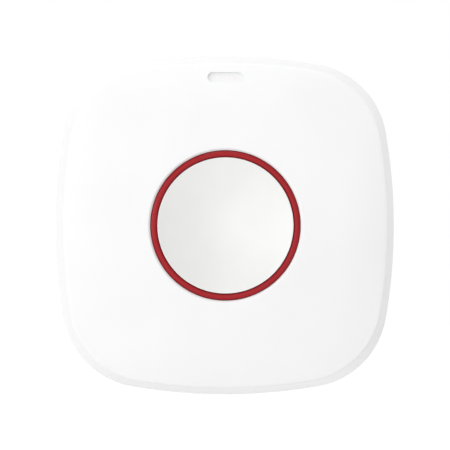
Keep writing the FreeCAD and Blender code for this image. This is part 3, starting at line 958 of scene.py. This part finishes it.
    def status_window(self) -> Piece:
        """Milky window that lies a little below the face in its slot.

        Returns:
            The finished piece.
        """
        soft, drop = self.window_round, self.window_drop
        back, bend = self.face_wall + drop, soft * ROUND_SHARE
        front = loft("status_window", self.slot_rows((
            (0.0, -back), (0.0, -drop - soft), (-bend, -drop - bend), (-soft, -drop))))
        low, high = (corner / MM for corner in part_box("status_lens"))
        below = self.face(0.0, high.z) - back
        region = block((low.x - CLEARANCE, high.x + CLEARANCE),
                       (low.z - CLEARANCE, high.z + CLEARANCE), (-high.y - CLEARANCE, below))
        join(front, inner_form("status_lens", region))
        return finished(front, WINDOW_POLYCARBONATE, Body.HOUSING, "status_lens")


@dataclass
class PushButton:
    """Dished cap and the red ring round it.

    Attributes:
        cap_radius: radius of the cap.
        dish: depth of its hollow.
        edge_round: rounding of its edge.
        dish_round: rounding between the dish and that edge.
        side_round: rounding below it, on the side.
        dish_steps: rings of points across the dish.
        hub: radius of the innermost ring under the face.
        cap_wall: thickness of its face and skirt.
        skirt_end: height of the skirt's end.
        ring_inner: inner radius of the ring.
        ring_outer: its outer radius.
        crown: height of its crowned face.
        shoulder: how much further its two edges turn down.
        shoulder_power: how closely that keeps to the edges.
        crown_steps: pieces across the crown.
        tab_end: distance of its tabs' ends from the axis.
        tab_half: half width of a tab.
        tab_thick: thickness of a tab.
        tab_angles: directions of the tabs, in degrees.
    """

    cap_radius: float = 13.03
    dish: float = 1.7
    edge_round: float = 0.16
    dish_round: float = 0.2
    side_round: float = 0.15
    dish_steps: int = 26
    hub: float = 0.5
    cap_wall: float = 1.2
    skirt_end: float = 15.2
    ring_inner: float = 13.05
    ring_outer: float = 14.34
    crown: float = 0.22
    shoulder: float = 0.14
    shoulder_power: int = 6
    crown_steps: int = 16
    tab_end: float = 17.37
    tab_half: float = 2.5
    tab_thick: float = 1.0
    tab_angles: tuple[float, ...] = (90.0, 210.0, 330.0)

    def cap(self) -> Piece:
        """Dished cap with a rounded edge, a skirt and its catch legs.

        Returns:
            The finished piece.
        """
        low, top = heights("button_cap")
        rim = self.cap_radius - self.edge_round
        ball = (rim ** 2 + self.dish ** 2) / (2 * self.dish)
        under = top - self.dish - self.cap_wall
        inner = self.cap_radius - self.cap_wall
        profile: list[Pair] = []
        for step in range(1, self.dish_steps + 1):
            radius = rim * step / self.dish_steps
            depth = self.dish - (ball - sqrt(ball ** 2 - radius ** 2))
            profile.append((radius, top - depth))
        corner = len(profile)
        profile += [(self.cap_radius, top), (self.cap_radius, self.skirt_end),
                    (inner, self.skirt_end), (inner, under), (self.hub, under)]
        corners = {corner - 1: self.dish_round, corner: self.edge_round,
                   corner + 1: self.side_round}
        piece = loft("cap_shell", softened(turned(profile), corners, steps=6))
        ends = (low - CLEARANCE, under + SKIN)
        region = loft("legs_region", turned([(inner - SKIN, end) for end in ends], steps=64))
        join(piece, inner_form("button_cap", region))
        return finished(piece, CAP_LACQUER, Body.BUTTON, "button_cap")

    def ring(self) -> Piece:
        """Crowned red ring with its three tabs, a light guide between cap and housing.

        Returns:
            The finished piece.
        """
        back, top = heights("ring_light")
        middle = (self.ring_inner + self.ring_outer) / 2
        half = (self.ring_outer - self.ring_inner) / 2
        profile: list[Pair] = [(self.ring_outer, back)]
        for step in range(self.crown_steps + 1):
            across = cos(pi * step / self.crown_steps)
            fall = self.crown * across ** 2 + self.shoulder * across ** self.shoulder_power
            profile.append((middle + half * across, top - fall))
        profile.append((self.ring_inner, back))
        piece = loft("red_ring", turned(profile), closed=True)
        for angle in self.tab_angles:
            join(piece, block((middle, self.tab_end), (-self.tab_half, self.tab_half),
                              (back, back + self.tab_thick), angle))
        return finished(piece, RING_POLYCARBONATE, Body.HOUSING, "ring_light")


@dataclass
class Springs:
    """Coil that lifts the button and leaf that pushes the tamper pin out.

    Attributes:
        wire_width: width of the coil's flat wire.
        wire_height: its thickness.
        wire_round: rounding of its edges.
        round_steps: pieces in each of them.
        turns: number of turns.
        turn_steps: pieces in a turn.
        travel: how far the button presses the coil together. Not used.
        leaf_foot: length of the leaf's soldered foot. Not used.
        pin_radius: radius of the pin that the leaf bears on. Not used.
        leaf_steps: pieces along the leaf.
    """

    wire_width: float = 0.6
    wire_height: float = 0.4
    wire_round: float = 0.1
    round_steps: int = 2
    turns: float = 1.5
    turn_steps: int = 72
    travel: float = 0.9
    leaf_foot: float = 3.5
    pin_radius: float = 1.5
    leaf_steps: int = 24

    def section(self) -> list[Pair]:
        """Section of the flat wire, with rounded edges.

        Returns:
            Pairs across the wire and along the coil's axis.
        """
        flat_x = self.wire_width / 2 - self.wire_round
        flat_y = self.wire_height / 2 - self.wire_round
        points = []
        for number, (side_x, side_y) in enumerate(((1, 1), (-1, 1), (-1, -1), (1, -1))):
            for step in range(self.round_steps + 1):
                angle = (number + step / self.round_steps) * pi / 2
                points.append((side_x * flat_x + self.wire_round * cos(angle),
                               side_y * flat_y + self.wire_round * sin(angle)))
        return points

    def coil(self) -> Piece:
        """Flat-wire coil between the frame and the carrier.

        Returns:
            The finished piece.
        """
        low, high = heights("return_spring")
        radius = half_of("return_spring") - self.wire_width / 2
        count = round(self.turns * self.turn_steps)
        rows = []
        for step in range(count + 1):
            turn = TURN * self.turns * step / count
            middle = low + self.wire_height / 2 + (high - low - self.wire_height) * step / count
            rows.append([at((radius + x) * cos(turn), (radius + x) * sin(turn),
                            middle + y) for x, y in self.section()])
        piece = finished(loft("coil_spring", rows), SPRING_STEEL, Body.HOUSING, "return_spring")
        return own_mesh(piece)

    def leaf(self) -> Piece:
        """Leaf spring copied from its solid and cut across into short lengths.

        Returns:
            The finished piece.
        """
        piece = copied("leaf_strip", "tamper_leaf")
        low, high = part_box("tamper_leaf")
        form = bmesh.new()
        form.from_mesh(piece.data)
        for step in range(1, self.leaf_steps):
            x = low.x + (high.x - low.x) * step / self.leaf_steps
            bmesh.ops.bisect_plane(form, geom=form.verts[:] + form.edges[:] + form.faces[:],
                                   plane_co=(x, 0.0, 0.0), plane_no=(1.0, 0.0, 0.0))
        form.to_mesh(piece.data)
        form.free()
        finished(piece, SPRING_STEEL, None, "tamper_leaf")
        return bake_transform(piece)


@dataclass
class InnerParts:
    """Pieces that keep their solids and get their real finish.

    Attributes:
        finishes: node name to its finish.
    """

    finishes: dict[str, Finish] = field(default_factory=lambda: {
        "rear_cover": REAR_ABS, "button_carrier": ACETAL, "tamper_pin": ACETAL,
        "button_frame": BLACK_NYLON, "switch_body": BLACK_NYLON, "battery_holder": BLACK_NYLON,
        "switch_plunger": DARK_ACETAL, "switch_cover": TIN_PLATE, "switch_pins": TIN_PLATE,
        "radio_shield": TIN_PLATE, "antenna": TIN_PLATE, "crystal": TIN_PLATE,
        "positive_clip": SPRING_STEEL, "negative_contact": SPRING_STEEL,
        "board_screws": ZINC_PLATE, "coin_cell": CELL_NICKEL, "circuit_board": GREEN_BOARD,
        "radio_module": BLUE_BOARD, "ring_leds": LAMP_RESIN, "status_led": LAMP_RESIN,
        "controller_chip": CHIP_EPOXY, "chip_capacitors": CAPACITOR_CERAMIC,
        "chip_resistors": RESISTOR_CERAMIC})

    def dress(self) -> None:
        """Put each finish on its nodes."""
        for node, finish in self.finishes.items():
            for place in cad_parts[node].material_slots:
                place.material = finish.material()


@dataclass
class Lamp:
    """Soft square studio lamp aimed at the button.

    Attributes:
        name: its name.
        place: where it hangs, in metres.
        power: its power in watts.
        size: edge of its square, in metres.
    """

    name: str
    place: tuple[float, float, float]
    power: float
    size: float = 0.9

    def hang(self) -> None:
        """Add the lamp to the scene."""
        data = bpy.data.lights.new(self.name, "AREA")
        data.size, data.energy = self.size, self.power
        lamp = bpy.data.objects.new(self.name, data)
        lamp.location = self.place
        lamp.rotation_euler = (-Vector(self.place)).to_track_quat("-Z", "Y").to_euler()
        bpy.context.scene.collection.objects.link(lamp)


@dataclass
class Studio:
    """Pale floor, soft lamps, white surround and the camera.

    Attributes:
        distance: from the camera to the button, in metres.
        picture_mm: width that the picture takes in at the button.
        azimuth: how far the camera stands to the right of the button's axis, in degrees.
        elevation: how far above it, in degrees.
        middle: middle of the picture across and up the face, in millimetres.
        floor_drop: how far the floor lies below the button, in metres.
        floor_reach: how far it goes to each side, in metres.
        floor_grain: scale of its faint clouds.
        floor_glow: light that lifts it to white where it is seen.
        floor_tones: sRGB hex colours of the clouds.
        sight: how far the camera sees, in metres.
        surround: strength of the light from all sides.
        lamps: the lamps.
    """

    distance: float = 2.5
    picture_mm: float = 86.7
    azimuth: float = -0.36
    elevation: float = -0.1
    middle: Pair = (0.03, 0.115)
    floor_drop: float = 0.06
    floor_reach: float = 12.0
    floor_grain: float = 40.0
    floor_glow: float = 0.6
    floor_tones: tuple[str, str] = ("ebebeb", "efefef")
    sight: float = 100.0
    surround: float = 0.575
    lamps: tuple[Lamp, ...] = (
        Lamp("side_lamp", (-1.63, -0.96, 0.19), 12.4),
        Lamp("top_lamp", (0.67, 0.11, 1.77), 9.4),
        Lamp("front_top_lamp", (0.0, -0.95, 1.64), 6.2),
        Lamp("front_lamp", (-0.28, -1.87, 0.15), 5.0),
        Lamp("back_lamp", (-0.35, 1.87, 0.2), 3.9),
    )

    def build(self) -> None:
        """Add the floor, the lamps, the surround and the camera."""
        self.floor()
        self.white_surround()
        for lamp in self.lamps:
            lamp.hang()
        self.camera()

    def show(self, tree: Tree, kind: str, lit: Node, seen: Node) -> None:
        """Send out one shader for the light and another one for what is seen.

        Args:
            tree: node tree of the world or a material.
            kind: Blender's name of its output node, after its "ShaderNode".
            lit: what the soft light comes from or falls on.
            seen: what shows directly, in a gloss and through a clear piece.
        """
        path = add_node(tree, "LightPath").outputs
        gloss = add_node(tree, "Math", {
            0: path["Is Glossy Ray"], 1: path["Is Transmission Ray"]}, operation="MAXIMUM")
        share = add_node(tree, "Math", {0: path["Is Camera Ray"], 1: gloss}, operation="MAXIMUM")
        mix = add_node(tree, "MixShader", {0: share, 1: lit, 2: seen})
        add_node(tree, kind, {"Surface": mix})

    def white_surround(self) -> None:
        """White background whose soft light comes from all sides."""
        world = bpy.data.worlds.new("white_surround")
        bpy.context.scene.world = world
        world.use_nodes = True
        tree = world.node_tree
        tree.nodes.clear()
        soft, white = (add_node(tree, "Background", {
            "Color": linear("ffffff"), "Strength": strength}) for strength in (self.surround, 1.0))
        self.show(tree, "OutputWorld", soft, white)

    def floor(self) -> None:
        """Plain pale floor below the button, white to the camera where no shadow falls."""
        reach, level = self.floor_reach, CAD_BOX[0].z - self.floor_drop
        corners = [Vector((x * reach, y * reach, level))
                   for x, y in ((-1, -1), (1, -1), (1, 1), (-1, 1))]
        floor = mesh_piece("studio_floor", corners, [(0, 1, 2, 3)])
        shade(floor.data, False)
        material = bpy.data.materials.new("pale_floor")
        material.use_nodes = True
        tree = material.node_tree
        tree.nodes.clear()
        grain = add_node(tree, "TexNoise", {"Scale": self.floor_grain})
        ramp = add_node(tree, "ValToRGB", {"Fac": grain})
        for element, tone in zip(ramp.color_ramp.elements, self.floor_tones):
            element.color = linear(tone)
        paint = add_node(tree, "BsdfDiffuse", {"Color": ramp})
        glow = add_node(tree, "Emission", {"Strength": self.floor_glow})
        bright = add_node(tree, "AddShader", {0: paint, 1: glow})
        self.show(tree, "OutputMaterial", paint, bright)
        floor.data.materials.append(material)

    def camera(self) -> None:
        """Camera almost straight in front of the face."""
        data = bpy.data.cameras.new("camera")
        camera = bpy.data.objects.new("camera", data)
        aside, above = radians(self.azimuth), radians(self.elevation)
        toward = Vector((sin(aside) * cos(above), -cos(aside) * cos(above), sin(above)))
        aim = at(*self.middle, 0.0)
        camera.location = aim + toward * self.distance
        camera.rotation_euler = (-toward).to_track_quat("-Z", "Y").to_euler()
        data.lens = data.sensor_width * self.distance / (self.picture_mm * MM)
        data.clip_end = self.sight
        bpy.context.scene.collection.objects.link(camera)
        bpy.context.scene.camera = camera


def main() -> None:
    """Build the finished pieces, dress the rest and set up the studio."""
    logging.basicConfig(level=logging.INFO, format="%(name)s: %(message)s")
    housing, button = Housing(Outline(half_of("front_cover"))), PushButton()
    springs, inner = Springs(), InnerParts()
    for build in (housing.front_cover, housing.status_window, button.cap, button.ring,
                  springs.coil, springs.leaf):
        piece = build()
        LOG.info("made %s: %d faces", piece.name, len(piece.data.polygons))
    inner.dress()
    for node, finish in inner.finishes.items():
        LOG.info("dressed %s in %s", node, finish.name)
    Studio().build()
    bpy.context.scene.view_settings.view_transform = "Standard"


if __name__ == "__main__":
    main()
